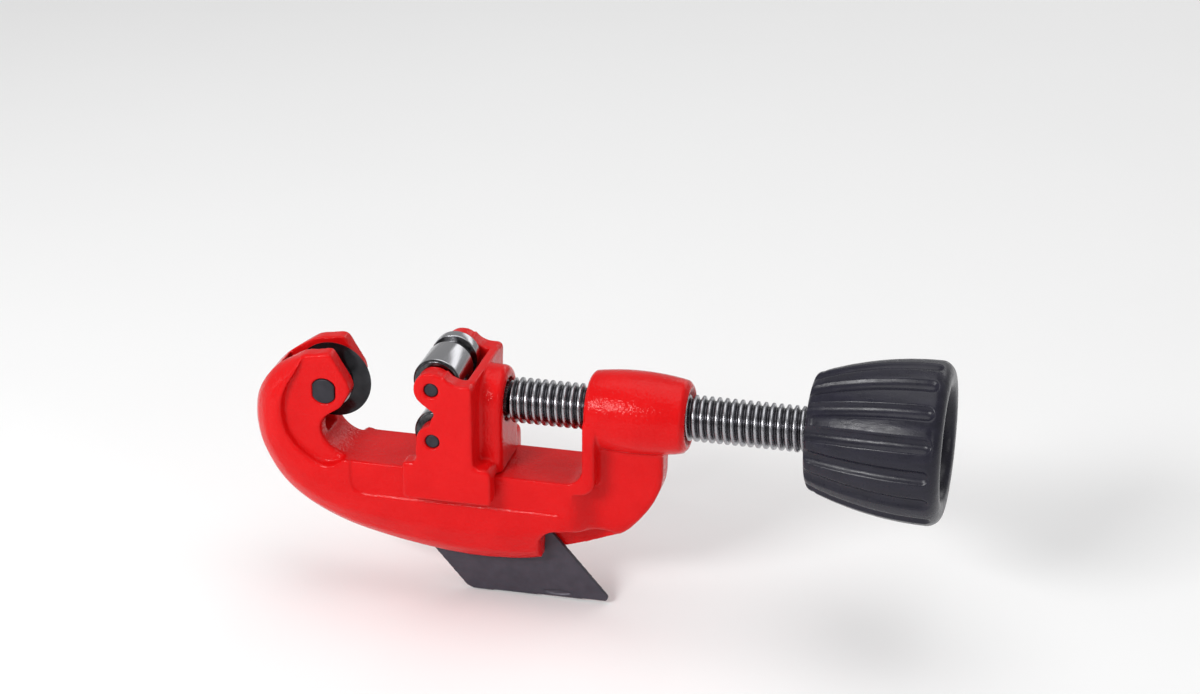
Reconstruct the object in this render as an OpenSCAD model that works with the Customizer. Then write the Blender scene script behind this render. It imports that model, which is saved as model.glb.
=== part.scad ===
// Pipe cutter for 3 to 30 mm copper tube: a cast C-frame with a fixed cutting wheel,
// a sliding carriage with two rollers, a threaded spindle with a knob, and a deburring
// blade that slides out of the frame's lower edge.
//
// Frame: the origin is the centre of a 15 mm tube held between the wheel and the rollers.
// +X runs along the spindle towards the knob, +Y is the tube's axis, +Z is up.
// Millimetres. The spindle's axis is the X axis.

/* [Tube and carriage] */
// Outer diameter of the tube that is held at rest
tube_d = 15; // [12:1:18]
// Radius of the two guide rollers
roller_r = 5.7; // [5.4:0.1:5.8]
// Height of each roller's axis above or below the spindle's axis
roller_z = 6.5; // [6.4:0.1:6.8]
// Half the length of a roller
roller_half = 9.1; // [8.8:0.1:9.1]
// Radius of the pins that the rollers turn on
roller_pin_r = 1.75; // [1.6:0.05:1.9]
// Thickness of each carriage cheek
cheek_t = 4.65; // [4.2:0.05:4.8]

/* [Cutting wheel] */
// Radius of the cutting wheel at its edge
wheel_r = 9.4; // [9:0.1:9.6]
// Height of the wheel's axle above the spindle's axis
wheel_z = 0.4; // [0:0.1:0.6]
// Radius of the axle
axle_r = 2.5; // [2.3:0.1:2.7]
// Half the gap between the two ears that hold the wheel
ear_gap_half = 3.3; // [3.2:0.1:3.6]
// Half the thickness over the two ears
ear_half = 7.4; // [7.2:0.1:7.6]

/* [Frame] */
// Half the width of the rail and of the head's rim
rail_half = 9.2; // [9:0.1:9.3]
// Height of the rail's top face
rail_z = -16.1; // [-16.4:0.1:-15.8]
// Thickness of the rail's flange
flange_t = 2.5; // [2:0.1:3]
// Half the thickness of the web and the lower band
web_half = 3.5; // [3.2:0.1:3.8]
// Where the leg's inner face stands along the spindle
leg_x = 46; // [45:0.5:47]
// Length of the barrel that carries the thread
barrel_len = 23.6; // [22:0.1:25]
// Largest radius of the barrel
barrel_r = 9.7; // [9.4:0.1:10]

/* [Spindle] */
// Outer radius of the thread
thread_r = 5.4; // [5.2:0.1:5.6]
// Pitch of the thread
pitch = 1.8; // [1.5:0.1:2]
// Where the thread starts, behind the carriage
thread_x0 = 27.3; // [27:0.1:29]
// Where the knob starts
knob_x = 97.9; // [96:0.1:100]

/* [Knob] */
// Length of the knob
knob_len = 31.3; // [29:0.1:33]
// Largest radius of the knob
knob_r = 18.85; // [18:0.05:20]
// Radius of the open recess in the knob's end
recess_r = 12.7; // [12:0.1:13.5]
// Number of grip grooves
groove_count = 16; // [12:1:18]

/* [Deburring blade] */
// Thickness of the blade
blade_t = 1.2; // [1:0.1:1.4]
// Slope of the blade's path below the spindle's direction, in degrees
blade_slope = 49.3; // [47:0.1:51]
// Width of the blade along the spindle's direction
blade_w = 35.8; // [34:0.1:37]
// How far the blade slides into the frame
blade_travel = 16.5; // [15:0.5:17]

/* [Hidden] */

$fn = 96;
eps = 0.01;
run_gap = 0.05; // radial clearance of a running fit
slide_gap = 0.1; // clearance under the carriage

// Places that follow from the driving dimensions
tube_r = tube_d / 2;
wheel_x = -sqrt(pow(tube_r + wheel_r - 0.05, 2) - pow(wheel_z, 2));
roller_x = sqrt(pow(tube_r + roller_r, 2) - pow(roller_z, 2));
cheek_in = rail_half + 0.15;
cheek_out = cheek_in + cheek_t;

// Outer edge of the C from the ear's tip round to the leg, and the crest of the rim
// that belongs to each of its points: the casting thins from the crest to the edge
outer_edge = [[-16.1, 10.1], [-18.4, 9.6], [-21.7, 9.1], [-25.6, 7], [-29.3, 4.4],
    [-32.3, 1], [-34.3, -2.9], [-35, -7.1], [-34.9, -11.2], [-33.9, -16], [-31.2, -21.8],
    [-28.1, -26], [-24.3, -29.3], [-19.2, -32.4], [-12.2, -35.3], [-4, -37.4], [6, -39.2],
    [17.5, -40.3], [28.2, -39.9], [34.5, -38.8], [39.6, -37.4], [45.3, -35.5], [51, -32.6],
    [55.8, -29.5], [60.4, -23.8], [62.8, -19.2], [63.8, -15], [63.8, -6]];
crest = [[-9, 8], [-13.5, 7.5], [-18.2, 5.8], [-22, 3.4], [-25.2, 0.8],
    [-27.3, -1.6], [-28.4, -4.2], [-28.6, -7.4], [-28.2, -10.6], [-27, -13.8], [-24.6, -17.4],
    [-21.8, -20.2], [-18.4, -22.4], [-14.2, -24], [-8.5, -24.7], [-2, -24.8], [7, -24.8],
    [17.5, -24.7], [27, -24.7], [32, -24.6], [36, -24.6], [42, -24.2], [47, -22.5],
    [50.5, -19.5], [53, -15], [54, -11], [54, -8], [54, -6]];
// Inner edge from the rail's end round the throat to the ear's tip
inner_edge = [[-8, -16.1], [-11.3, -15.9], [-14.2, -14.9], [-15.8, -13.8], [-17, -12.4],
    [-17.8, -10.8], [-18, -9], [-17.6, -7.3], [-16.4, -5.9], [-15, -4.9], [-13.1, -3.6],
    [-11.8, -1.7], [-10.8, 0.2], [-10.5, 1.2], [-10.9, 2.9], [-11.7, 4.3], [-13.4, 7.2],
    [-14.8, 9.6], [-15.3, 10.1]];
// Border of the level face round the axle
face_edge = [[-20.5, 11.5], [-22, 7.6], [-23.6, 4.6], [-25.5, 1.4], [-26.5, -1.8],
    [-26.7, -6], [-25.9, -10], [-23.9, -13.2], [-21.1, -15.8], [-17.7, -17.7], [-14.4, -17.6],
    [-11.6, -15.6]];
edge_half = 4; // half the thickness at the outer edge
crest_half = 9.65; // half the thickness at the rim's crest
leg_top_z = -6;
corner_r = 4;
slot_r = 12.3; // wheel slot between the ears
strip_w = 3; // the leg's edge strip, which runs up beside the barrel
strip_top_z = -0.5;
bend_r = 3; // outside bend from the rail to the strip
flange_z = rail_z - flange_t;
guide_x0 = -10.4; // level guide faces that the carriage's skirts run along
guide_z0 = -24.5;

// Blade: a point on its left edge at the frame's lower edge, and its heights
blade_left = [7.8, -41.8];
blade_z0 = -51.1;
blade_z1 = -32;
blade_tilt = 1.1;
slide_dir = [cos(blade_slope), -sin(blade_slope)];
blade_gap = 0.1;
slot_half = blade_t / 2 + 0.06;
slot_top_z = -18.8;
stud_at = [20, -34.2];
stud_r = 1.5;
stud_len = 1.1;
spring_at = [27, -36.2];
spring_len = 11;
spring_w = 3.6;
spring_t = 0.3;
spring_bow = 0.4;

// Carriage stations along the spindle
wall_x0 = roller_x + 7.5;
wall_x1 = roller_x + 9.7;
boss_x1 = roller_x + 14.9;
skirt_x0 = roller_x - 7.5;
skirt_x1 = roller_x + 13.9;
skirt_top_z = -12.4;
skirt_low_z = -21.7;
skirt_corner_r = 2; // upper rear corner of the skirts
floor_z = rail_z + slide_gap;
boss_r = 8;
boss_round = 1.8;
journal_r = 3.5;
neck_r = 4.1;
washer_r = 5;
washer_t = 0.8;
ring_t = 0.8;
square_w = 7.4;
hub_r = 8;
swell_r = 73.4; // lengthwise radius of the grip
fat_x = knob_x + knob_len - 3.3; // where the grip is fattest
groove_phase = 0;
hub_x1 = knob_x + 14.9;
screw_r = 2.1;

// Points of an arc about c from angle a0 to a1
function arc(c, r, a0, a1, n = 24) =
    [for (i = [0:n]) let (a = a0 + (a1 - a0) * i / n) [c[0] + r * cos(a), c[1] + r * sin(a)]];

// A point between p1 and p2 on the smooth curve through p0 to p3
function between(p0, p1, p2, p3, t) = 0.5 * (2 * p1 + (p2 - p0) * t
    + (2 * p0 - 5 * p1 + 4 * p2 - p3) * t * t + (3 * p1 - p0 - 3 * p2 + p3) * t * t * t);

// A smooth curve through the points p, with n steps between neighbours
function smooth(p, n = 3) = concat([for (i = [0:len(p) - 2], k = [0:n - 1])
    between(p[max(i - 1, 0)], p[i], p[i + 1], p[min(i + 2, len(p) - 1)], k / n)],
    [p[len(p) - 1]]);

// A point moved along the blade's path
function along(p, s) = [p[0] + s * slide_dir[0], p[1] + s * slide_dir[1]];

// An XZ outline made into a plate between two Y values
module plate(y0, y1) {
    translate([0, y1, 0]) rotate([90, 0, 0]) linear_extrude(y1 - y0) children();
}

// A plate from -half to +half
module slab(half) { plate(-half, half) children(); }

// A cylinder along X
module rod(x0, x1, r, r2 = -1) {
    translate([x0, 0, 0]) rotate([0, 90, 0]) cylinder(h = x1 - x0, r1 = r, r2 = r2 < 0 ? r : r2);
}

// A cylinder along Y through the point [x, z]
module pin_y(at, y0, y1, r) {
    translate([at[0], y0, at[1]]) rotate([-90, 0, 0]) cylinder(h = y1 - y0, r = r);
}

// A profile of [x, radius] points turned about the X axis
module turned(profile) {
    rotate([0, 90, 0]) rotate([0, 0, 180])
        rotate_extrude() polygon([for (p = profile) [p[1], p[0]]]);
}

// ---------------------------------------------------------------- frame

// The whole C: head, spine, rail and leg
module frame_outline() {
    polygon(concat(
        smooth(outer_edge),
        [[leg_x + strip_w, leg_top_z], [leg_x + strip_w, strip_top_z], [leg_x, strip_top_z]],
        arc([leg_x - corner_r, rail_z + corner_r], corner_r, 0, -90, 10),
        smooth(inner_edge)
    ));
}

// One level of the crowned body, from the outer edge (0) to the rim's crest (1)
module crown_level(half, depth) {
    edge = [for (i = [0:len(crest) - 1]) outer_edge[i] * (1 - depth) + crest[i] * depth];
    slab(half) polygon(concat(smooth(edge, 2), [[64, 20], [-8, 20]]));
}

// The whole casting thins towards its outer edge
module crowned_body() {
    intersection() {
        slab(crest_half) frame_outline();
        hull() {
            crown_level(edge_half, 0);
            crown_level(edge_half + 2.4, 0.2);
            crown_level(edge_half + 4.6, 0.55);
            crown_level(crest_half, 1);
        }
    }
}

// The same outline cut on both sides, from half outwards
module both_sides(half) {
    for (side = [-1, 1]) plate(side > 0 ? half : -12, side > 0 ? 12 : -half) children();
}

// Web of the leg, outside its edge strip and above the band
module leg_web_outline() {
    x0 = leg_x + strip_w;
    polygon(concat([[70, flange_z], [70, 2], [x0, 2]],
        arc([x0 - bend_r, flange_z + bend_r], bend_r, 0, -90, 10)));
}

// The thick band runs out smoothly into the leg's web, seen from above
module run_out() {
    x0 = leg_x - 4;
    x1 = leg_x + 4;
    n = 16;
    curve = [for (i = [0:n]) [x0 + (x1 - x0) * i / n,
        web_half + (crest_half - web_half) * (0.5 + 0.5 * cos(180 * i / n))]];
    for (side = [-1, 1]) translate([0, 0, -46]) linear_extrude(46 + flange_z)
        scale([1, side]) polygon(concat(curve, [[70, web_half], [70, 12], [x0, 12]]));
}

// Level faces beside the rail, with a round end towards the head
module guide_outline() {
    r = 3.4;
    x1 = leg_x + strip_w + 0.1;
    polygon(concat([[guide_x0, 0]], arc([guide_x0 + r, guide_z0 + r], r, 180, 270, 8),
        [[x1, guide_z0], [x1, 0]]));
}

// Rounded inside corner between the leg's strip and its web
module strip_fillet(side) {
    r = 1.6;
    x0 = leg_x + strip_w - eps;
    y0 = web_half - eps;
    translate([0, 0, flange_z + bend_r - 1]) linear_extrude(leg_top_z - flange_z - bend_r + 1)
        scale([1, side]) polygon(concat([[x0, y0]], arc([x0 + r, y0 + r], r, 270, 180, 8)));
}

// Recess round the axle, open towards the throat
module plateau_outline() {
    polygon(concat(smooth(face_edge), [[-6, -15], [-6, 12]]));
}

// Space that the blade sweeps inside the web
module blade_slot_outline() {
    top = slot_top_z;
    low = blade_left[1] - 4;
    run = (top - low) / tan(blade_slope);
    x_low = blade_left[0] - (low - blade_left[1]) / tan(blade_slope) - blade_gap;
    polygon([[x_low, low], [x_low - run, top],
        [x_low - run + blade_w + 2 * blade_gap, top], [x_low + blade_w + 2 * blade_gap, low]]);
}

// Thumb scoop that bares the blade on the front side
module thumb_scoop() {
    x0 = 35.1;
    z1 = -29.4;
    fall = 2.4; // how much lower the scoop's upper edge is at its far end
    r = 4.8;
    fade_r = 20;
    intersection() {
        plate(-12, slot_half) polygon(concat(
            [[x0 - 0.6, -45], [x0, z1 - r]], arc([x0 + r, z1 - r], r, 180, 90, 10),
            [[60, z1 - fall], [60, -45]]));
        translate([0, 0, -46]) linear_extrude(20) polygon(concat(
            [[x0 - 1, -12], [x0 - 1, slot_half], [43, slot_half]],
            arc([43, slot_half - fade_r], fade_r, 88, 46, 12), [[57, -12]]));
    }
}

// Crowned barrel round the spindle
module barrel() {
    crown_r = 60;
    mid_x = leg_x + 11;
    x1 = leg_x + barrel_len;
    function crown(x) = barrel_r - crown_r + sqrt(pow(crown_r, 2) - pow(x - mid_x, 2));
    n = 12;
    turned(concat([[leg_x, 0]], [[leg_x, crown(leg_x) - 0.8]],
        [for (i = [0:n]) let (x = leg_x + 0.8 + (barrel_len - 1.8) * i / n) [x, crown(x)]],
        [[x1, crown(x1) - 1]], [[x1, 0]]));
}

module frame_casting() color([0.86, 0.05, 0.06]) {
    wheel_at = [wheel_x, wheel_z];
    difference() {
        union() {
            difference() {
                crowned_body();
                both_sides(web_half) leg_web_outline();
                run_out();
            }
            for (side = [-1, 1]) strip_fillet(side);
            barrel();
        }
        both_sides(ear_half) plateau_outline();
        both_sides(rail_half) guide_outline();
        // slot and axle hole for the wheel, with a two-flat seat for the axle's head
        pin_y(wheel_at, -ear_gap_half, ear_gap_half, slot_r);
        pin_y(wheel_at, -rail_half - 1, rail_half + 1, axle_r + run_gap);
        plate(-rail_half - 1, -ear_half + 2.1) axle_head_outline(0.08);
        // thread bore, opened at both mouths
        rod(leg_x - 1, leg_x + barrel_len + 1, thread_r + run_gap);
        rod(leg_x + barrel_len - 1.2, leg_x + barrel_len + eps, thread_r, thread_r + 1.2);
        rod(leg_x - eps, leg_x + 1.2, thread_r + 1.2, thread_r);
        // blade slot, stud groove, spring pocket and thumb scoop
        slab(slot_half) blade_slot_outline();
        plate(0, slot_half + stud_len) stud_groove_outline();
        translate([spring_at[0] - spring_len / 2 - 0.4, 0, spring_at[1] - spring_w / 2 - 0.2])
            cube([spring_len + 0.8, slot_half + 0.9, spring_w + 0.4]);
        thumb_scoop();
    }
}

// Round head with a flat on each side
module axle_head_outline(extra = 0) {
    translate([wheel_x, wheel_z]) intersection() {
        circle(r = 3.1 + extra);
        square([5.4 + 2 * extra, 8], center = true);
    }
}

// Path of the blade's stud in the frame's rear wall
module stud_groove_outline() {
    r = stud_r + 0.06;
    lo = along(stud_at, 0.05);
    hi = along(stud_at, -blade_travel - 0.05);
    translate(lo) circle(r = r);
    translate(hi) circle(r = r);
    translate(lo) rotate(-blade_slope) translate([-blade_travel - 0.1, -r])
        square([blade_travel + 0.1, 2 * r]);
}

// ---------------------------------------------------------------- wheel

module wheel_axle() color([0.24, 0.24, 0.29]) {
    end_y = ear_half + 1.6;
    difference() {
        union() {
            plate(-ear_half - 0.1, -ear_half + 2.1) axle_head_outline();
            pin_y([wheel_x, wheel_z], -ear_half + 2, end_y, axle_r);
        }
        difference() {
            pin_y([wheel_x, wheel_z], ear_half + 0.1, ear_half + 0.9, axle_r + 1);
            pin_y([wheel_x, wheel_z], ear_half, ear_half + 1, axle_r - 0.5);
        }
    }
}

// Open retaining ring in the axle's groove
module axle_retaining_ring() color([0.35, 0.35, 0.38]) {
    plate(ear_half + 0.1, ear_half + 0.9) translate([wheel_x, wheel_z]) rotate(35) difference() {
        circle(r = axle_r + 1.7);
        circle(r = axle_r - 0.5);
        translate([0, -1.2]) square([8, 2.4]);
    }
}

// Side washer between the wheel's hub and an ear
module wheel_washer(side) {
    inner = 2.6;
    outer = 3.25;
    color([0.62, 0.62, 0.65]) difference() {
        pin_y([wheel_x, wheel_z], side > 0 ? inner : -outer, side > 0 ? outer : -inner, 5.6);
        pin_y([wheel_x, wheel_z], -4, 4, axle_r + run_gap);
    }
}

// Hardened wheel: hub, tapered disc and sharp edge
module cutting_wheel() color([0.1, 0.1, 0.11]) {
    hub_half = 2.5;
    side = [[4.9, hub_half], [5.3, hub_half - 0.4], [5.5, 1.5], [wheel_r - 1.5, 0.75],
        [wheel_r, 0.04]];
    other = [for (i = [len(side) - 1:-1:0]) [side[i][0], -side[i][1]]];
    bore = axle_r + run_gap;
    translate([wheel_x, 0, wheel_z]) rotate([-90, 0, 0]) rotate_extrude()
        polygon(concat([[bore, hub_half]], side, other, [[bore, -hub_half]]));
}

// ---------------------------------------------------------------- carriage

// Side view of a cheek and its skirt
module cheek_outline() {
    lobe_r = 4.35;
    up = [roller_x + 0.15, roller_z];
    low = [roller_x, -roller_z];
    polygon(concat(
        arc(up, lobe_r, 52, 232, 30),
        [[roller_x - 0.4, 1.5]],
        arc([roller_x - 0.5, 0.4], 1.05, 60, -60, 6),
        arc(low, lobe_r - 0.5, 100, 180, 12),
        arc([roller_x - 5.4, -11.1], 1.3, 0, -90, 6),
        arc([skirt_x0 + 0.8, skirt_top_z - 0.8], 0.8, 90, 180, 5),
        arc([skirt_x0 + 0.8, skirt_low_z + 0.8], 0.8, 180, 270, 5),
        arc([skirt_x1 - 0.8, skirt_low_z + 0.8], 0.8, 270, 360, 5),
        arc([skirt_x1 - skirt_corner_r, skirt_top_z - skirt_corner_r], skirt_corner_r, 0, 90, 8),
        arc([wall_x1 + 1.4, skirt_top_z + 1.4], 1.4, 270, 180, 6),
        arc([wall_x1 - 1.3, 6.9], 1.3, 0, 90, 6),
        arc([wall_x0 - 0.4, 13.2], 5, 270, 216, 10)
    ));
}

// End view of the boss: half round over straight sides
module boss_outline(r) {
    circle(r = r);
    translate([-r, floor_z]) square([2 * r, -floor_z]);
}

// The boss's rear edge is rounded in three steps
module boss_end() {
    hull() for (a = [0, 30, 60, 90])
        translate([boss_x1 - boss_round - 0.1 + boss_round * sin(a), 0, 0]) rotate([90, 0, 90])
            linear_extrude(0.1) boss_outline(boss_r - boss_round * (1 - cos(a)));
}

module carriage_casting() color([0.86, 0.05, 0.06]) difference() {
    union() {
        plate(-cheek_out, -cheek_in) cheek_outline();
        plate(cheek_in, cheek_out) cheek_outline();
        // rear wall, floor and the bridge that carries the skirts
        translate([wall_x0, -cheek_in - 1, floor_z])
            cube([wall_x1 - wall_x0, 2 * cheek_in + 2, 8.2 - floor_z]);
        translate([roller_x - 2.5, -cheek_in - 1, floor_z])
            cube([12, 2 * cheek_in + 2, 2.8]);
        slab(cheek_in + 1) polygon(concat(
            [[wall_x0, skirt_top_z], [wall_x0, floor_z], [skirt_x1, floor_z]],
            arc([skirt_x1 - skirt_corner_r, skirt_top_z - skirt_corner_r], skirt_corner_r, 0, 90, 8)));
        translate([wall_x0, 0, 0]) rotate([90, 0, 90])
            linear_extrude(boss_x1 - boss_round - wall_x0) boss_outline(boss_r);
        boss_end();
    }
    for (z = [-roller_z, roller_z]) {
        pin_y([roller_x, z], -cheek_out - 1, cheek_out + 1, roller_pin_r);
        for (y = [-cheek_out - eps, cheek_out - 0.3 + eps])
            pin_y([roller_x, z], y, y + 0.3, roller_pin_r + 0.3);
    }
    // journal hole with a counterbore for the thrust washer
    rod(wall_x0 - 1, boss_x1 + 1, journal_r + run_gap);
    rod(boss_x1 - 1.9, boss_x1 + 1, washer_r + 0.2);
}

module roller_pin(z) {
    color([0.2, 0.2, 0.24])
        pin_y([roller_x, z], -cheek_out + 0.45, cheek_out - 0.45, roller_pin_r);
}

// Roller with a groove that takes the flare of a flared tube end
module roller(z) {
    bore = roller_pin_r + run_gap;
    groove_r = roller_r - 1.5;
    color([0.75, 0.75, 0.77]) translate([roller_x, 0, z]) rotate([90, 0, 0])
        rotate_extrude() polygon([
            [bore, -roller_half], [roller_r - 0.5, -roller_half], [roller_r, -roller_half + 0.5],
            [roller_r, -5.6], [groove_r, -5.2], [groove_r, -2.4], [roller_r, -2],
            [roller_r, roller_half - 0.9], [roller_r - 0.5, roller_half - 0.5],
            [roller_r - 0.5, roller_half], [bore, roller_half]]);
}

// ---------------------------------------------------------------- spindle

// Ridges of the thread, one ring for each turn
module spindle() color([0.6, 0.6, 0.62]) {
    root_r = thread_r - 1.05;
    turns = floor((knob_x + 0.4 - thread_x0) / pitch);
    thread_x1 = thread_x0 + turns * pitch;
    tip_x = wall_x0 - 1.9;
    groove_x = wall_x0 - 0.1 - ring_t;
    shoulder_x = boss_x1 - 1.9 + washer_t;
    ridges = [for (i = [0:turns - 1]) let (x = thread_x0 + i * pitch)
        each [[x + 0.05, root_r], [x + 0.75, thread_r], [x + 1.05, thread_r], [x + 1.75, root_r]]];
    difference() {
        union() {
            turned(concat(
                [[tip_x, 0], [tip_x, journal_r - 0.4], [tip_x + 0.4, journal_r],
                    [groove_x, journal_r], [groove_x, journal_r - 0.7],
                    [groove_x + ring_t, journal_r - 0.7], [groove_x + ring_t, journal_r],
                    [shoulder_x, journal_r], [shoulder_x, neck_r], [thread_x0, neck_r]],
                ridges, [[thread_x1, root_r], [thread_x1, 0]]));
            translate([thread_x1 - 1, -square_w / 2, -square_w / 2])
                cube([hub_x1 - 0.6 - thread_x1 + 1, square_w, square_w]);
        }
        rod(hub_x1 - 12, hub_x1, screw_r);
    }
}

module spindle_thrust_washer() color([0.5, 0.5, 0.52]) difference() {
    rod(boss_x1 - 1.9, boss_x1 - 1.9 + washer_t, washer_r);
    rod(boss_x1 - 3, boss_x1, journal_r + run_gap);
}

module spindle_retaining_ring() color([0.35, 0.35, 0.38]) {
    translate([wall_x0 - 0.1 - ring_t, 0, 0]) rotate([90, 0, 90]) linear_extrude(ring_t)
        difference() {
            circle(r = journal_r + 1.3);
            circle(r = journal_r - 0.7);
            translate([-1.4, 0]) square([2.8, 8]);
        }
}

// ---------------------------------------------------------------- knob

// Radius of the grip at a station along the spindle
function swell(x) = knob_r - swell_r + sqrt(pow(swell_r, 2) - pow(fat_x - x, 2));

// Grip groove that follows the swell and ends round, just short of the lip
module grip_groove() {
    r = 1.8;
    lift = 0.75; // the tool's centre runs this far above the grip
    turn = 90 + asin((fat_x - (knob_x + knob_len - 5.2)) / swell_r);
    translate([fat_x, 0, knob_r - swell_r]) rotate([90, 0, 0]) rotate([0, 0, turn]) {
        rotate_extrude(angle = 22) translate([swell_r + lift, 0]) circle(r = r, $fn = 24);
        translate([swell_r + lift, 0, 0]) sphere(r = r, $fn = 24);
    }
}

// Swelling grip with a rounded lip and a deep recess
module knob_body() color([0.19, 0.19, 0.21]) {
    lip_r = 3.4;
    x1 = knob_x + knob_len;
    n = 14;
    start_r = swell(knob_x + 1.5);
    difference() {
        turned(concat(
            [[knob_x, hub_r], [knob_x, start_r - 2]],
            arc([knob_x + 2, start_r - 2], 2, 180, 100, 6),
            [for (i = [0:n]) let (x = knob_x + 2.5 + (fat_x - knob_x - 2.5) * i / n) [x, swell(x)]],
            arc([x1 - lip_r, knob_r - lip_r], lip_r, 80, 8, 8),
            [[x1 - 0.2, recess_r + 1.2], [x1 - 1.2, recess_r],
                [hub_x1 - 3, recess_r - 0.8], [hub_x1 - 3, hub_r]]));
        for (i = [0:groove_count - 1]) rotate([groove_phase + 360 / groove_count * i, 0, 0])
            grip_groove();
    }
}

// Metal hub in the knob, with a square socket
module knob_hub() color([0.55, 0.55, 0.57]) difference() {
    rod(knob_x + 0.4, hub_x1, hub_r - 0.02);
    translate([knob_x - 1, -square_w / 2, -square_w / 2]) cube([20, square_w, square_w]);
    rod(knob_x, knob_x + 1.4, thread_r + 0.2);
}

module knob_washer() color([0.6, 0.6, 0.62]) difference() {
    rod(hub_x1, hub_x1 + 1.2, 6.5);
    rod(hub_x1 - 1, hub_x1 + 2, screw_r + 0.3);
}

// Pan-head screw with a hexagon socket
module knob_screw() color([0.5, 0.5, 0.52]) difference() {
    union() {
        rod(hub_x1 - 11, hub_x1 + 1.3, screw_r);
        turned([[hub_x1 + 1.2, 0], [hub_x1 + 1.2, 4.4], [hub_x1 + 3, 4.4],
            [hub_x1 + 3.8, 3.4], [hub_x1 + 3.8, 0]]);
    }
    translate([hub_x1 + 1.9, 0, 0]) rotate([0, 90, 0]) cylinder(h = 3, r = 1.8, $fn = 6);
}

// ---------------------------------------------------------------- blade

// Slanted blade with a round heel and a sharp toe
module blade_outline() {
    heel_r = 3.4;
    toe_r = 0.8;
    half_heel = (180 - blade_slope + blade_tilt) / 2;
    lean = 1 / tan(blade_slope);
    function left_x(z) = blade_left[0] - (z - blade_left[1]) * lean;
    heel = [left_x(blade_z0), blade_z0];
    toe = [left_x(blade_z0 + 0.6) + blade_w, blade_z0 + 0.6];
    heel_c = [heel[0] + heel_r * tan(blade_slope / 2) + 0.06, heel[1] + heel_r + 0.02];
    toe_c = [toe[0] - toe_r / tan(blade_slope / 2), toe[1] + toe_r];
    polygon(concat(
        [[left_x(blade_z1), blade_z1]],
        arc(heel_c, heel_r, 270 - blade_slope, 270, 10),
        arc(toe_c, toe_r, 270, 400, 8),
        [[left_x(blade_z1) + blade_w, blade_z1]]
    ));
}

module deburring_blade() color([0.25, 0.24, 0.29]) difference() {
    slab(blade_t / 2) blade_outline();
    // fingernail groove near the lower edge
    plate(-blade_t / 2 - 1, -blade_t / 2 + 0.3) intersection() {
        translate([37.8, -60.4]) circle(r = 11.6);
        translate([37.8, -39.2]) circle(r = 11);
    }
    pin_y(stud_at, -1, 1, stud_r - 0.3);
}

// Stud that runs in the frame's groove and stops the blade at both ends
module blade_stop_stud() color([0.5, 0.5, 0.52]) {
    pin_y(stud_at, -blade_t / 2, blade_t / 2 + 0.1, stud_r - 0.3);
    pin_y(stud_at, blade_t / 2, blade_t / 2 + stud_len - 0.1, stud_r);
}

// Bowed strip that presses on the blade
module blade_leaf_spring() color([0.55, 0.55, 0.58]) {
    back_y = slot_half + 0.85;
    bow_r = (pow(spring_len / 2, 2) + pow(spring_bow, 2)) / (2 * spring_bow);
    half_a = asin(spring_len / 2 / bow_r);
    c = [spring_at[0], back_y - spring_bow - spring_t + bow_r];
    translate([0, 0, spring_at[1] - spring_w / 2]) linear_extrude(spring_w)
        polygon(concat(arc(c, bow_r, 270 - half_a, 270 + half_a, 14),
            arc(c, bow_r - spring_t, 270 + half_a, 270 - half_a, 14)));
}

frame_casting();
wheel_axle();
axle_retaining_ring();
wheel_washer(-1);  // wheel_washer_front
wheel_washer(1);  // wheel_washer_rear
cutting_wheel();
carriage_casting();
roller_pin(roller_z);  // upper_roller_pin
roller_pin(-roller_z);  // lower_roller_pin
roller(roller_z);  // upper_roller
roller(-roller_z);  // lower_roller
spindle();
spindle_thrust_washer();
spindle_retaining_ring();
knob_body();
knob_hub();
knob_washer();
knob_screw();
deburring_blade();
blade_stop_stud();
blade_leaf_spring();
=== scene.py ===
"""Pipe cutter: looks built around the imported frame. Lengths are in metres."""

from math import cos, pi, radians, sin, sqrt

import bmesh
import bpy
from mathutils import Matrix, Vector


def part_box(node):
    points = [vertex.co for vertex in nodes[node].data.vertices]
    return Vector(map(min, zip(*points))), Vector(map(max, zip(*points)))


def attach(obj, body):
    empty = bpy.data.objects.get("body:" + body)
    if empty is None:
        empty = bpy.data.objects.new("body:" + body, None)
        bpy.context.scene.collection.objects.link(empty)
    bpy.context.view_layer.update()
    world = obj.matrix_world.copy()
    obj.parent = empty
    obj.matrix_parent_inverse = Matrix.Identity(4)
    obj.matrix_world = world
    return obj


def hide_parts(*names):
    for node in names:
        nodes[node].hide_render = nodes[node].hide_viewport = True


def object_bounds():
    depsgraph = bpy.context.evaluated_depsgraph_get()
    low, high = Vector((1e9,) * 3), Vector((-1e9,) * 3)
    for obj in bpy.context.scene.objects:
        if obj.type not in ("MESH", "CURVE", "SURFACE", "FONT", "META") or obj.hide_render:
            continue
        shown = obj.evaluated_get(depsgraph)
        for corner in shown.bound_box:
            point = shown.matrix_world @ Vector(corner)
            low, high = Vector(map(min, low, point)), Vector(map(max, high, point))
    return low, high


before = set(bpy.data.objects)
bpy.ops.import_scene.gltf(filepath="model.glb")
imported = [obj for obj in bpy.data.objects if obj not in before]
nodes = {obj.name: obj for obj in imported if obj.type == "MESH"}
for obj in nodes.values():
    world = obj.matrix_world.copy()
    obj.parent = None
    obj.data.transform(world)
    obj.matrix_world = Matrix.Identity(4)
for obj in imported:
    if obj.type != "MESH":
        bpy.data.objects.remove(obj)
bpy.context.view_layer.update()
scene = bpy.context.scene
MM = 0.001

# ------------------------------------------------------------ places, from the frame


def middle(node):
    """Centre of a CAD node's box."""
    lo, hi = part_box(node)
    return (Vector(lo) + Vector(hi)) / 2


def span(node, axis):
    """Lowest and highest coordinate of a CAD node along an axis."""
    lo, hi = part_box(node)
    return lo[axis], hi[axis]


def radius(node):
    """Radius of a round CAD node, from its height."""
    lo, hi = span(node, 2)
    return (hi - lo) / 2


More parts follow.
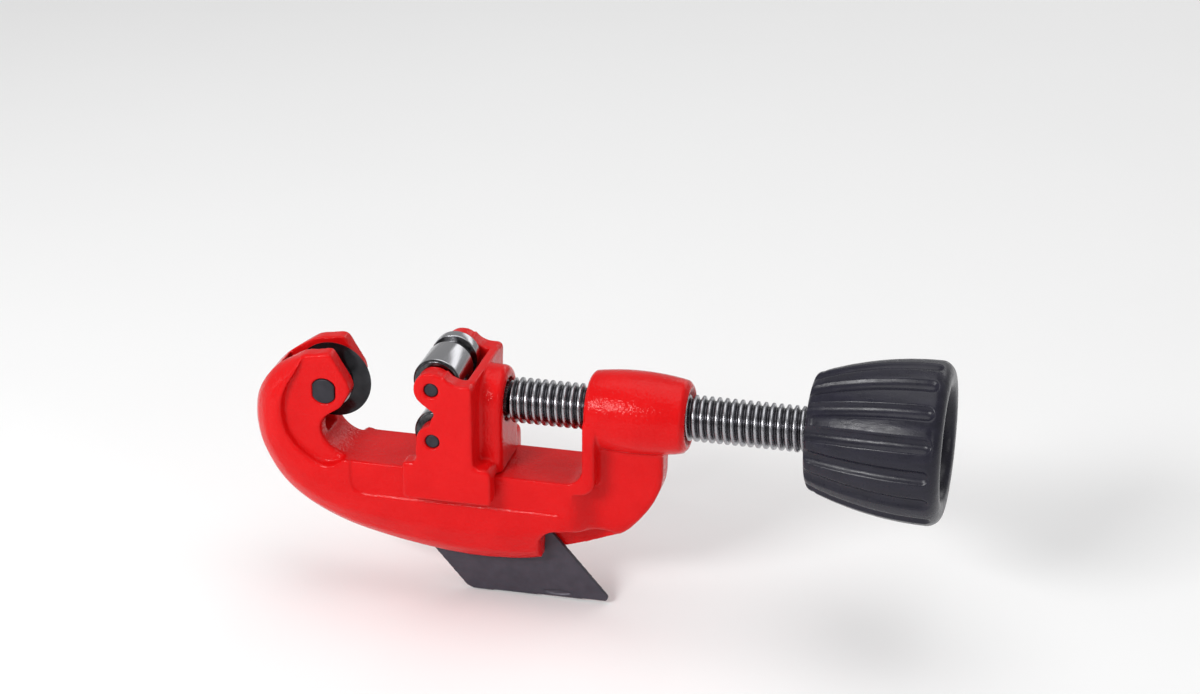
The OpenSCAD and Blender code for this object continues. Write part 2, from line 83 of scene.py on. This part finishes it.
PITCH = 1.8 * MM
FRAME_VOXEL, CARRIAGE_VOXEL = 0.3 * MM, 0.26 * MM
AXLE_VOXEL, BLADE_VOXEL = 0.16 * MM, 0.2 * MM
wheel_at = middle("cutting_wheel")
wheel_r = radius("cutting_wheel")

# ------------------------------------------------------------ material helpers


def new_material(name, color, metallic=0.0, roughness=0.4, specular=0.5):
    """A Principled material and handles to its nodes."""
    mat = bpy.data.materials.new(name)
    mat.use_nodes = True
    tree = mat.node_tree
    shader = tree.nodes["Principled BSDF"]
    shader.inputs["Base Color"].default_value = (*color, 1)
    shader.inputs["Metallic"].default_value = metallic
    shader.inputs["Roughness"].default_value = roughness
    shader.inputs["Specular IOR Level"].default_value = specular
    return mat, tree, shader


def position(tree, stretch=(1, 1, 1)):
    """The surface's own coordinates in millimetres, stretched per axis."""
    coords = tree.nodes.new("ShaderNodeTexCoord")
    mapping = tree.nodes.new("ShaderNodeMapping")
    mapping.inputs["Scale"].default_value = [s / MM for s in stretch]
    tree.links.new(coords.outputs["Object"], mapping.inputs["Vector"])
    return mapping.outputs["Vector"]


def noise(tree, vector, scale, detail=2.0, rough=0.5):
    """Noise over a position, scale in features per millimetre."""
    n = tree.nodes.new("ShaderNodeTexNoise")
    n.inputs["Scale"].default_value = scale
    n.inputs["Detail"].default_value = detail
    n.inputs["Roughness"].default_value = rough
    tree.links.new(vector, n.inputs["Vector"])
    return n.outputs["Fac"]


def ramp(tree, fac, stops):
    """A colour ramp: stops are (place, grey or colour)."""
    r = tree.nodes.new("ShaderNodeValToRGB")
    elements = r.color_ramp.elements
    while len(elements) < len(stops):
        elements.new(0.5)
    for e, (place, value) in zip(elements, stops):
        e.position = place
        e.color = (value, value, value, 1) if isinstance(value, (int, float)) else (*value, 1)
    tree.links.new(fac, r.inputs["Fac"])
    return r.outputs["Color"]


def spread(tree, fac, low, high):
    """Maps 0.3..0.7 of a noise to low..high."""
    m = tree.nodes.new("ShaderNodeMapRange")
    m.inputs["From Min"].default_value = 0.3
    m.inputs["From Max"].default_value = 0.7
    m.inputs["To Min"].default_value = low
    m.inputs["To Max"].default_value = high
    tree.links.new(fac, m.inputs["Value"])
    return m.outputs["Result"]


def bump(tree, shader, height, depth, strength=1.0, under=None):
    """Bump of a real depth in metres."""
    b = tree.nodes.new("ShaderNodeBump")
    b.inputs["Strength"].default_value = strength
    b.inputs["Distance"].default_value = depth
    tree.links.new(height, b.inputs["Height"])
    if under:
        tree.links.new(under, b.inputs["Normal"])
    tree.links.new(b.outputs["Normal"], shader.inputs["Normal"])
    return b.outputs["Normal"]


def tint(tree, fac, a, b):
    """Mix of two colours."""
    m = tree.nodes.new("ShaderNodeMix")
    m.data_type = "RGBA"
    m.inputs["A"].default_value = (*a, 1)
    m.inputs["B"].default_value = (*b, 1)
    tree.links.new(fac, m.inputs["Factor"])
    return m.outputs["Result"]


# ------------------------------------------------------------ materials


def red_paint():
    """Thick gloss enamel on a rough casting: orange peel, and slow waves under it."""
    mat, tree, shader = new_material("red_paint", (0.7, 0.006, 0.008), roughness=0.17, specular=0.15)
    at = position(tree)
    stops = [(0.3, (0.62, 0.004, 0.005)), (0.7, (0.68, 0.006, 0.007))]
    tone = ramp(tree, noise(tree, at, 0.12, 3), stops)
    tree.links.new(tone, shader.inputs["Base Color"])
    tree.links.new(spread(tree, noise(tree, at, 0.5, 3), 0.13, 0.21), shader.inputs["Roughness"])
    waves = bump(tree, shader, noise(tree, at, 0.22, 2), 0.12 * MM)
    bump(tree, shader, noise(tree, at, 1.25, 2, 0.6), 0.15 * MM, under=waves)
    return mat


def steel(name, dark, bright, rough=(0.16, 0.3), metallic=1.0, grain=(1, 1, 1), depth=0.004):
    """Steel with brush marks along one axis, soft stains and a little wear."""
    mat, tree, shader = new_material(name, bright, metallic=metallic, roughness=rough[0])
    at = position(tree, grain)
    plain = position(tree)
    fine = noise(tree, at, 3.5, 4, 0.6)
    patches = noise(tree, plain, 0.35, 3)
    tree.links.new(tint(tree, spread(tree, patches, 0, 1), dark, bright), shader.inputs["Base Color"])
    tree.links.new(spread(tree, fine, *rough), shader.inputs["Roughness"])
    bump(tree, shader, fine, depth * MM)
    return mat


def grooved_steel(name, bright, dark, rough, grain):
    """Bright steel with painted shade in its grooves: a mesh attribute that is 1 inside a groove darkens
    the colour there, patchily.
    """
    mat, tree, shader = new_material(name, bright, metallic=1, roughness=rough[0])
    painted_shade = tree.nodes.new("ShaderNodeAttribute")
    painted_shade.attribute_name = "painted_shade"
    # painted shade, a little patchy: how dark a groove is painted varies from 0.8 to 1
    patches = spread(tree, noise(tree, position(tree), 0.6, 3), 0.8, 1)
    mix = tree.nodes.new("ShaderNodeMath")
    mix.operation = "MULTIPLY"
    tree.links.new(painted_shade.outputs["Fac"], mix.inputs[0])
    tree.links.new(patches, mix.inputs[1])
    tree.links.new(tint(tree, mix.outputs["Value"], bright, dark), shader.inputs["Base Color"])
    fine = noise(tree, position(tree, grain), 4, 3)
    tree.links.new(spread(tree, fine, *rough), shader.inputs["Roughness"])
    bump(tree, shader, fine, 0.005 * MM)
    return mat


def knob_plastic():
    """Moulded black plastic, semi-gloss, with a fine grain and faint flow marks."""
    mat, tree, shader = new_material("knob_plastic", (0.012, 0.011, 0.017), roughness=0.3, specular=0.3)
    at = position(tree)
    flow = noise(tree, position(tree, (0.25, 1, 1)), 0.5, 3)
    tone = tint(tree, spread(tree, flow, 0, 1), (0.01, 0.0095, 0.017), (0.015, 0.014, 0.025))
    tree.links.new(tone, shader.inputs["Base Color"])
    tree.links.new(spread(tree, noise(tree, at, 0.7, 3), 0.24, 0.36), shader.inputs["Roughness"])
    waves = bump(tree, shader, flow, 0.1 * MM)
    bump(tree, shader, noise(tree, at, 4.0, 2), 0.014 * MM, under=waves)
    return mat


RED = red_paint()
# thread and roller: the second colour is the painted shade for the grooves
THREAD = grooved_steel(
    "thread_steel", (0.36, 0.36, 0.38), (0.05, 0.048, 0.055), (0.2, 0.34), (0.2, 1, 1)
)
KNOB = knob_plastic()
ROLLER = grooved_steel(
    "roller_steel", (0.46, 0.46, 0.48), (0.012, 0.012, 0.014), (0.14, 0.24), (1, 0.06, 1)
)
DARK = steel("dark_steel", (0.011, 0.01, 0.015), (0.024, 0.022, 0.031), (0.34, 0.48), 0.3, depth=0.01)
WHEEL = steel("wheel_steel", (0.012, 0.012, 0.014), (0.03, 0.03, 0.034), (0.12, 0.2), 0.7, depth=0.003)
PLAIN = steel("plain_steel", (0.4, 0.4, 0.41), (0.56, 0.56, 0.58), (0.24, 0.38), depth=0.006)
SPRING = steel("spring_steel", (0.2, 0.2, 0.21), (0.34, 0.34, 0.36), (0.26, 0.4), depth=0.006)
BLADE = steel(
    "blade_steel", (0.046, 0.041, 0.056), (0.062, 0.056, 0.074), (0.38, 0.5), 0.35,
    grain=(0.08, 1, 1), depth=0.01,
)

# ------------------------------------------------------------ mesh helpers


def finish_piece(ob, material, body, node=None, sharp=None):
    """Puts a piece into the scene with its material and body, and hides its CAD node."""
    if ob.name not in scene.collection.objects:
        scene.collection.objects.link(ob)
    ob.data.materials.clear()
    ob.data.materials.append(material)
    for face in ob.data.polygons:
        face.use_smooth = True
    if sharp:
        ob.data.set_sharp_from_angle(angle=radians(sharp))
    if node:
        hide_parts(node)
    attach(ob, body)
    return ob


def cad_copy(name, node):
    """A copy of a CAD node's mesh with its split corners joined again."""
    mesh = nodes[node].data.copy()
    bm = bmesh.new()
    bm.from_mesh(mesh)
    bmesh.ops.remove_doubles(bm, verts=bm.verts, dist=2e-6)
    bm.to_mesh(mesh)
    bm.free()
    mesh.name = name
    ob = bpy.data.objects.new(name, mesh)
    scene.collection.objects.link(ob)
    return ob


def bake_modifiers(ob):
    """Turns an object's modifiers into its mesh."""
    bpy.context.view_layer.update()
    depsgraph = bpy.context.evaluated_depsgraph_get()
    mesh = bpy.data.meshes.new_from_object(ob.evaluated_get(depsgraph))
    ob.modifiers.clear()
    ob.data = mesh


def cast(name, node, voxel, passes, *softness):
    """A CAD node as a casting: its edges and inside corners become small radii.

    Each softness is a pair: how much a point takes part, from 0 to 1, and the passes.
    """
    ob = cad_copy(name, node)
    remesh = ob.modifiers.new("remesh", "REMESH")
    remesh.mode = "VOXEL"
    remesh.voxel_size = voxel
    remesh.adaptivity = 0
    bake_modifiers(ob)
    smooth = ob.modifiers.new("smooth", "SMOOTH")
    smooth.factor = 0.5
    smooth.iterations = passes
    for k, (soft, soft_passes) in enumerate(softness):
        group = ob.vertex_groups.new(name=f"soft{k}")
        for v in ob.data.vertices:
            w = soft(v.co)
            if w > 0.01:
                group.add([v.index], w, "REPLACE")
        extra = ob.modifiers.new(f"soft{k}", "SMOOTH")
        extra.factor = 0.5
        extra.iterations = soft_passes
        extra.vertex_group = f"soft{k}"
    bake_modifiers(ob)
    ob.vertex_groups.clear()
    return ob


def grid_mesh(name, rings, closed_path=False):
    """Skins a list of rings, each a closed loop of the same number of points."""
    n = len(rings[0])
    verts = [p for ring in rings for p in ring]
    count = len(rings)
    faces = []
    for i in range(count if closed_path else count - 1):
        a, b = i * n, ((i + 1) % count) * n
        for j in range(n):
            k = (j + 1) % n
            faces.append((a + j, a + k, b + k, b + j))
    if not closed_path:
        faces.append(tuple(range(n - 1, -1, -1)))
        faces.append(tuple((count - 1) * n + j for j in range(n)))
    mesh = bpy.data.meshes.new(name)
    mesh.from_pydata(verts, [], faces)
    bm = bmesh.new()
    bm.from_mesh(mesh)
    bmesh.ops.recalc_face_normals(bm, faces=bm.faces)
    bm.to_mesh(mesh)
    bm.free()
    return bpy.data.objects.new(name, mesh)


def lathe(name, profile, centre, axis, steps=128, closed=True):
    """Turns a profile of (along, radius) about an axis, 0 for X and 1 for Y."""
    rings = []
    for along, r in profile:
        ring = []
        for j in range(steps):
            t = 2 * pi * j / steps
            offset = (along, r * cos(t), r * sin(t)) if axis == 0 else (r * cos(t), along, r * sin(t))
            ring.append(Vector(centre) + Vector(offset))
        rings.append(ring)
    return grid_mesh(name, rings, closed_path=closed)


def rounded(profile, r, steps=4, keep=()):
    """Rounds the corners of an open profile with radius r, except those in keep."""
    out = []
    for i, p in enumerate(profile):
        if i in (0, len(profile) - 1) or i in keep:
            out.append(p)
            continue
        a, b, c = Vector(profile[i - 1]), Vector(p), Vector(profile[i + 1])
        u, v = a - b, c - b
        cut = min(r, u.length * 0.45, v.length * 0.45)
        p0, p1 = b + u.normalized() * cut, b + v.normalized() * cut
        for k in range(steps + 1):
            t = k / steps
            q = p0 * (1 - t) ** 2 + b * 2 * t * (1 - t) + p1 * t**2
            out.append(tuple(q))
    return out


def smoothstep(a, b, x):
    """0 before a, 1 past b and a soft rise between; a may be the larger."""
    t = min(1, max(0, (x - a) / (b - a)))
    return t * t * (3 - 2 * t)


# ------------------------------------------------------------ castings


def frame_softness(p):
    """Where the frame's cast radii are large: round the axle's level face, the crowned
    edge, beside the leg's strip, under the barrel and at the scoop."""
    from_axle = (Vector((p.x, p.z)) - Vector((wheel_at.x, wheel_at.z))).length
    head = smoothstep(8.7 * MM, 10.2 * MM, from_axle) * smoothstep(-10 * MM, -14 * MM, p.x)
    low = smoothstep(-26.5 * MM, -29 * MM, p.z)
    crowned = max(head, low) * smoothstep(3.6 * MM, 4.4 * MM, abs(p.y))
    strip = smoothstep(46.3 * MM, 48 * MM, p.x) * smoothstep(54 * MM, 52 * MM, p.x)
    under = smoothstep(48 * MM, 50 * MM, p.x) * smoothstep(-6 * MM, -7.5 * MM, p.z)
    leg = max(strip, under) * smoothstep(-4.5 * MM, -6.5 * MM, p.z)
    leg *= smoothstep(2.4 * MM, 3.2 * MM, abs(p.y))
    scoop = smoothstep(35 * MM, 36 * MM, p.x) * smoothstep(-27 * MM, -28 * MM, p.z)
    scoop *= smoothstep(-1.2 * MM, -2.4 * MM, p.y)
    return max(crowned, leg, scoop)


def run_out_softness(p):
    """Where the thick band runs out into the leg's web."""
    along = smoothstep(40 * MM, 43 * MM, p.x) * smoothstep(60 * MM, 55 * MM, p.x)
    up = smoothstep(-19.5 * MM, -22 * MM, p.z) * smoothstep(-37 * MM, -34.5 * MM, p.z)
    return along * up * smoothstep(2.2 * MM, 3 * MM, abs(p.y))


# just past the carriage wall's face on the knob's side
wall_x = span("carriage_casting", 0)[1] - 5 * MM


def carriage_softness(p):
    """Round the skirts and where the boss's sides meet the rear wall."""
    skirt = smoothstep(-9.2 * MM, -11 * MM, p.z) * smoothstep(8.5 * MM, 9.6 * MM, abs(p.y))
    side = smoothstep(wall_x - 3 * MM, wall_x - 2 * MM, p.x)
    side *= smoothstep(6.8 * MM, 7.8 * MM, abs(p.y))
    return max(skirt, 0.7 * side * smoothstep(6 * MM, 4 * MM, p.z))


def clear_blade_path(ob):
    """Moves the slot's walls out of the space that the sliding blade sweeps.

    The swept space is a prism: level with the blade's flanks, square to its path.
    """
    slope, travel = radians(49.3), 16.5 * MM
    gap, end_gap = 0.14 * MM, 0.26 * MM
    outline = [v.co for v in nodes["deburring_blade"].data.vertices]
    across = [p.x * sin(slope) + p.z * cos(slope) for p in outline]
    low, high = min(across) - end_gap, max(across) + end_gap
    top = max(p.z for p in outline) + travel * sin(slope) + 2 * end_gap
    half = max(abs(p.y) for p in outline) + gap
    square = Vector((sin(slope), 0, cos(slope)))
    for v in ob.data.vertices:
        place = v.co.dot(square)
        ways = (
            (half - abs(v.co.y), Vector((0, 1 if v.co.y > 0 else -1, 0))),
            (place - low, -square),
            (high - place, square),
            (top - v.co.z, Vector((0, 0, 1))),
        )
        depth, outward = min(ways, key=lambda way: way[0])
        if depth > 0:
            v.co += outward * depth


frame_body = cast(
    "frame_body", "frame_casting", FRAME_VOXEL, 7, (frame_softness, 55), (run_out_softness, 240)
)
clear_blade_path(frame_body)
finish_piece(frame_body, RED, "frame", "frame_casting")
carriage_body = cast("carriage_body", "carriage_casting", CARRIAGE_VOXEL, 9, (carriage_softness, 30))
finish_piece(carriage_body, RED, "carriage", "carriage_casting")

# ------------------------------------------------------------ wheel and axle


def make_wheel():
    """Cutting wheel: hub with a chamfer, hollow-ground flanks and a fine edge."""
    lo, hi = span("cutting_wheel", 1)
    half = (hi - lo) / 2
    bore, flank_r = 2.55 * MM, 5.5 * MM
    flank_half, edge_half, hollow, flank_steps = 1.3 * MM, 0.03 * MM, 1.35, 8
    side = [(half, bore), (half, 4.7 * MM), (half - 0.5 * MM, 5.2 * MM), (flank_half, flank_r)]
    for k in range(1, flank_steps + 1):
        t = k / flank_steps
        r = flank_r + (wheel_r - flank_r) * t
        side.append((flank_half * (1 - t) ** hollow + edge_half, r))
    profile = side + [(-x, r) for x, r in reversed(side)]
    ob = lathe("cutting_wheel_blade", profile, wheel_at, 1, 160)
    return finish_piece(ob, WHEEL, "wheel", "cutting_wheel", sharp=28)


make_wheel()
axle = cast("wheel_axle_pin", "wheel_axle", AXLE_VOXEL, 4)
finish_piece(axle, DARK, "frame", "wheel_axle")

# ------------------------------------------------------------ rollers and their pins


def make_roller(which):
    """Polished roller with chamfered ends and a groove for a flared tube end; the groove, the end faces
    and the bore get painted shade.
    """
    node = f"{which}_roller"
    at, r = middle(node), radius(node)
    lo, hi = span(node, 1)
    half = (hi - lo) / 2
    bore, groove = 1.8 * MM, r - 1.5 * MM
    profile = [
        (-half, bore), (-half, r - 0.55 * MM), (-half + 0.55 * MM, r), (2.0 * MM, r), (2.5 * MM, groove),
        (5.1 * MM, groove), (5.6 * MM, r), (half - 0.8 * MM, r), (half, r - 0.7 * MM), (half, bore),
    ]
    ob = lathe(f"{which}_roller_body", rounded(profile, 0.18 * MM, 3), at, 1, 128)
    # painted shade: every point below the rim, which is the groove, the end faces and the bore, is
    # painted dark
    shade = ob.data.color_attributes.new("painted_shade", "FLOAT_COLOR", "POINT")
    for v in ob.data.vertices:
        off_axis = Vector((v.co.x - at.x, v.co.z - at.z)).length
        shaded = 1.0 if off_axis < r - 0.12 * MM else 0.0
        shade.data[v.index].color = (shaded, shaded, shaded, 1)
    return finish_piece(ob, ROLLER, f"roller_{which}", node, sharp=30)


def make_roller_pin(which):
    """Blackened pin with chamfered ends."""
    node = f"{which}_roller_pin"
    at, r = middle(node), radius(node)
    lo, hi = span(node, 1)
    half = (hi - lo) / 2
    dimple = 0.9 * MM
    profile = [
        (-half + 0.12 * MM, 0.05 * MM), (-half, dimple), (-half, r - 0.35 * MM), (-half + 0.3 * MM, r),
        (half - 0.3 * MM, r), (half, r - 0.35 * MM), (half, dimple), (half - 0.12 * MM, 0.05 * MM),
    ]
    ob = lathe(f"{which}_pin", rounded(profile, 0.08 * MM, 2), at, 1, 64, closed=False)
    return finish_piece(ob, DARK, "carriage", node, sharp=35)


for which in ("upper", "lower"):
    make_roller(which)
    make_roller_pin(which)

# ------------------------------------------------------------ spindle


def make_spindle():
    """Right-hand helical thread between the journal and the knob."""
    x_tip, x_end = span("spindle", 0)
    crest_r = radius("spindle")
    depth = 1.0 * MM
    knob_x = span("knob_body", 0)[0]
    seat_x = span("spindle_retaining_ring", 0)
    washer_x = span("spindle_thrust_washer", 0)[1]
    journal, collar = 3.5 * MM, 4.1 * MM
    x0, x1 = washer_x + 1.85 * MM, knob_x + 0.6 * MM
    per_pitch, steps = 16, 64
    count = int((x1 - x0) / PITCH * per_pitch)
    rings, shade_values = [], []
    plain_shade = 0.35

    def plain(x, r):
        """One smooth ring of the spindle, evenly darkened a little by painted shade."""
        turns = [2 * pi * j / steps for j in range(steps)]
        rings.append([(x, r * cos(t), r * sin(t)) for t in turns])
        shade_values.extend([plain_shade] * steps)

    for x, r in (
        (x_tip, journal - 0.4 * MM), (x_tip + 0.4 * MM, journal), (seat_x[0], journal),
        (seat_x[0], journal - 0.7 * MM), (seat_x[1], journal - 0.7 * MM), (seat_x[1], journal),
        (washer_x, journal), (washer_x, collar), (x0 - 0.5 * MM, collar), (x0 - 0.45 * MM, 4.4 * MM),
    ):
        plain(x, r)
    for i in range(count + 1):
        x = x0 + (x1 - x0) * i / count
        ring = []
        for j in range(steps):
            t = 2 * pi * j / steps
            phase = ((x - x0) / PITCH - t / (2 * pi)) % 1
            # 0 on the crest, 1 at the root, with a flat crest and a round root
            low = smoothstep(0.1, 0.46, 0.5 - abs(phase - 0.5))
            run_in = smoothstep(x0 - 0.4 * MM, x0 + 0.9 * MM, x) * 0.4 + 0.6
            r = (crest_r - depth * low) * min(1, run_in + 0.02)
            ring.append((x, r * cos(t), r * sin(t)))
            # painted shade: darker towards the thread's roots
            shade_values.append(smoothstep(0.35, 0.95, low))
        rings.append(ring)
    plain(x1 + 0.1 * MM, 4.0 * MM)
    ob = grid_mesh("spindle_thread", rings)
    # the painted shade goes to the thread's material as a mesh attribute
    shade = ob.data.color_attributes.new("painted_shade", "FLOAT_COLOR", "POINT")
    for i, value in enumerate(shade_values):
        shade.data[i].color = (value, value, value, 1)
    # square end that the knob's hub takes
    half = 3.7 * MM
    bm = bmesh.new()
    bm.from_mesh(ob.data)
    made = bmesh.ops.create_cube(bm, size=1)
    bmesh.ops.scale(bm, verts=made["verts"], vec=(x_end - x1, 2 * half, 2 * half))
    bmesh.ops.translate(bm, verts=made["verts"], vec=((x_end + x1) / 2, 0, 0))
    bm.to_mesh(ob.data)
    bm.free()
    return finish_piece(ob, THREAD, "screw", "spindle", sharp=50)


make_spindle()

# ------------------------------------------------------------ knob


def make_knob():
    """Swelling grip with lengthwise grooves, a rounded lip and a deep recess."""
    x0, x1 = span("knob_body", 0)
    knob_r = radius("knob_body")
    hub_x1 = span("knob_hub", 0)[1]
    hub_r = radius("knob_hub")
    recess_r = 12.7 * MM
    swell_r = 73.4 * MM
    fat_x = x1 - 3.3 * MM
    lip_r = 3.4 * MM
    grooves, per_groove = 16, 28
    cutter_r, cutter_lift = 2 * MM, 0.95 * MM
    cutter_end = x1 - 3.6 * MM
    steps = grooves * per_groove

    def swell(x):
        """Radius of the grip between its grooves."""
        return knob_r - swell_r + sqrt(swell_r**2 - (fat_x - x) ** 2)

    def groove_floor(x, across):
        """Radius of the groove's floor, a ball-ended cutter's path along the grip."""
        beyond = max(0, x - cutter_end)
        left = cutter_r**2 - across**2 - beyond**2
        return swell(x) + cutter_lift - sqrt(left) if left > 0 else knob_r

    # neck, swelling grip and lip, each as arcs
    neck_r, neck_steps, grip_steps, lip_steps = 2 * MM, 8, 64, 16
    start_r = swell(x0 + 1.5 * MM)
    path = [(x0, hub_r), (x0, start_r - 2.6 * MM)]
    for k in range(neck_steps + 1):
        t = radians(90 * k / neck_steps)
        path.append((x0 + neck_r * (1 - cos(t)), start_r - neck_r * (1 - sin(t))))
    for k in range(1, grip_steps + 1):
        x = x0 + 2.2 * MM + (fat_x - x0 - 2.4 * MM) * k / grip_steps
        path.append((x, swell(x)))
    for k in range(lip_steps + 1):
        t = radians(86 - 80 * k / lip_steps)
        path.append((x1 - lip_r + lip_r * cos(t), knob_r - lip_r + lip_r * sin(t)))
    path += [
        (x1 - 0.1 * MM, recess_r + 1.5 * MM), (x1 - 0.35 * MM, recess_r + 0.8 * MM),
        (x1 - 0.9 * MM, recess_r + 0.25 * MM), (x1 - 1.8 * MM, recess_r),
        (x1 - 7 * MM, recess_r - 0.45 * MM), (hub_x1 - 2.6 * MM, recess_r - 0.8 * MM),
        (hub_x1 - 3 * MM, recess_r - 1.2 * MM), (hub_x1 - 3 * MM, hub_r),
    ]
    rings = []
    for x, r in path:
        ring = []
        for j in range(steps):
            t = 2 * pi * j / steps
            across = abs((j / per_groove + 0.5) % 1 - 0.5) * 2 * pi * r / grooves
            rr = min(r, groove_floor(x, across))
            ring.append((x, -rr * sin(t), rr * cos(t)))
        rings.append(ring)
    ob = grid_mesh("knob_grip", rings, closed_path=True)
    relax = ob.modifiers.new("relax", "SMOOTH")
    relax.factor = 0.5
    relax.iterations = 2
    scene.collection.objects.link(ob)
    bake_modifiers(ob)
    return finish_piece(ob, KNOB, "screw", "knob_body", sharp=60)


make_knob()

# ------------------------------------------------------------ blade

blade = cast("blade_plate", "deburring_blade", BLADE_VOXEL, 3)
finish_piece(blade, BLADE, "blade", "deburring_blade")

# ------------------------------------------------------------ CAD nodes that stay

for node, material in (
    ("axle_retaining_ring", SPRING),
    ("wheel_washer_front", PLAIN),
    ("wheel_washer_rear", PLAIN),
    ("spindle_thrust_washer", PLAIN),
    ("spindle_retaining_ring", SPRING),
    ("knob_hub", PLAIN),
    ("knob_washer", PLAIN),
    ("knob_screw", PLAIN),
    ("blade_stop_stud", PLAIN),
    ("blade_leaf_spring", SPRING),
):
    nodes[node].data.materials.clear()
    nodes[node].data.materials.append(material)

# ------------------------------------------------------------ floor, lights and camera


def make_floor():
    """A wide pale sheet just under the object's lowest point."""
    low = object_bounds()[0][2] - 0.3 * MM
    mesh = bpy.data.meshes.new("floor")
    half = 6
    corners = [(-half, -half, low), (half, -half, low), (half, half, low), (-half, half, low)]
    mesh.from_pydata(corners, [], [(0, 1, 2, 3)])
    floor = bpy.data.objects.new("floor", mesh)
    scene.collection.objects.link(floor)
    mat, tree, shader = new_material("floor_white", (0.93, 0.93, 0.93), roughness=0.9)
    tone = tint(tree, noise(tree, position(tree), 0.01, 2), (0.92, 0.92, 0.92), (0.94, 0.94, 0.94))
    tree.links.new(tone, shader.inputs["Base Color"])
    mesh.materials.append(mat)


def area_light(name, at, toward, size, power):
    """A rectangular softbox at a place, facing a point."""
    data = bpy.data.lights.new(name, "AREA")
    data.shape = "RECTANGLE"
    data.size, data.size_y = size
    data.energy = power
    lamp = bpy.data.objects.new(name, data)
    lamp.location = at
    lamp.rotation_euler = (Vector(toward) - Vector(at)).to_track_quat("-Z", "Y").to_euler()
    scene.collection.objects.link(lamp)


def make_lights():
    """Soft boxes above, in front, at both sides and behind, and an even pale sky."""
    world = bpy.data.worlds.new("studio")
    world.use_nodes = True
    world.node_tree.nodes["Background"].inputs["Color"].default_value = (1, 1, 1, 1)
    world.node_tree.nodes["Background"].inputs["Strength"].default_value = 0.42
    scene.world = world
    centre = (45 * MM, 0, -10 * MM)
    area_light("top_box", (0.1, 0.05, 0.75), centre, (0.9, 0.6), 2.6)
    area_light("front_strip", (-0.3, -0.66, 0.44), centre, (0.34, 0.16), 4.4)
    area_light("right_box", (0.75, -0.6, 0.28), centre, (0.12, 0.3), 0.5)
    area_light("left_box", (-0.75, -0.2, 0.25), centre, (0.2, 0.4), 0.5)
    area_light("back_box", (0.3, 0.8, 0.35), centre, (0.6, 0.2), 0.6)


def make_camera():
    """Camera in front of the tool, a little to the knob's side and above it."""
    azimuth, elevation = radians(13.78), radians(23.91)
    distance, lens = 656.58 * MM, 85.04
    right = Vector((cos(azimuth), sin(azimuth), 0))
    back = Vector((sin(azimuth) * cos(elevation), -cos(azimuth) * cos(elevation), sin(elevation)))
    up = back.cross(right)
    aim = Vector((49.75 * MM, 0, 0)) - right * 1.56 * MM + up * 14.32 * MM
    data = bpy.data.cameras.new("camera")
    data.lens = lens
    data.sensor_width = 36
    data.clip_start = 0.01
    data.clip_end = 50
    camera = bpy.data.objects.new("camera", data)
    turn = Matrix((right, up, back)).transposed()
    camera.matrix_world = Matrix.Translation(aim + back * distance) @ turn.to_4x4()
    scene.collection.objects.link(camera)
    scene.camera = camera


make_floor()
make_lights()
make_camera()
scene.view_settings.view_transform = "Standard"
scene.view_settings.look = "None"
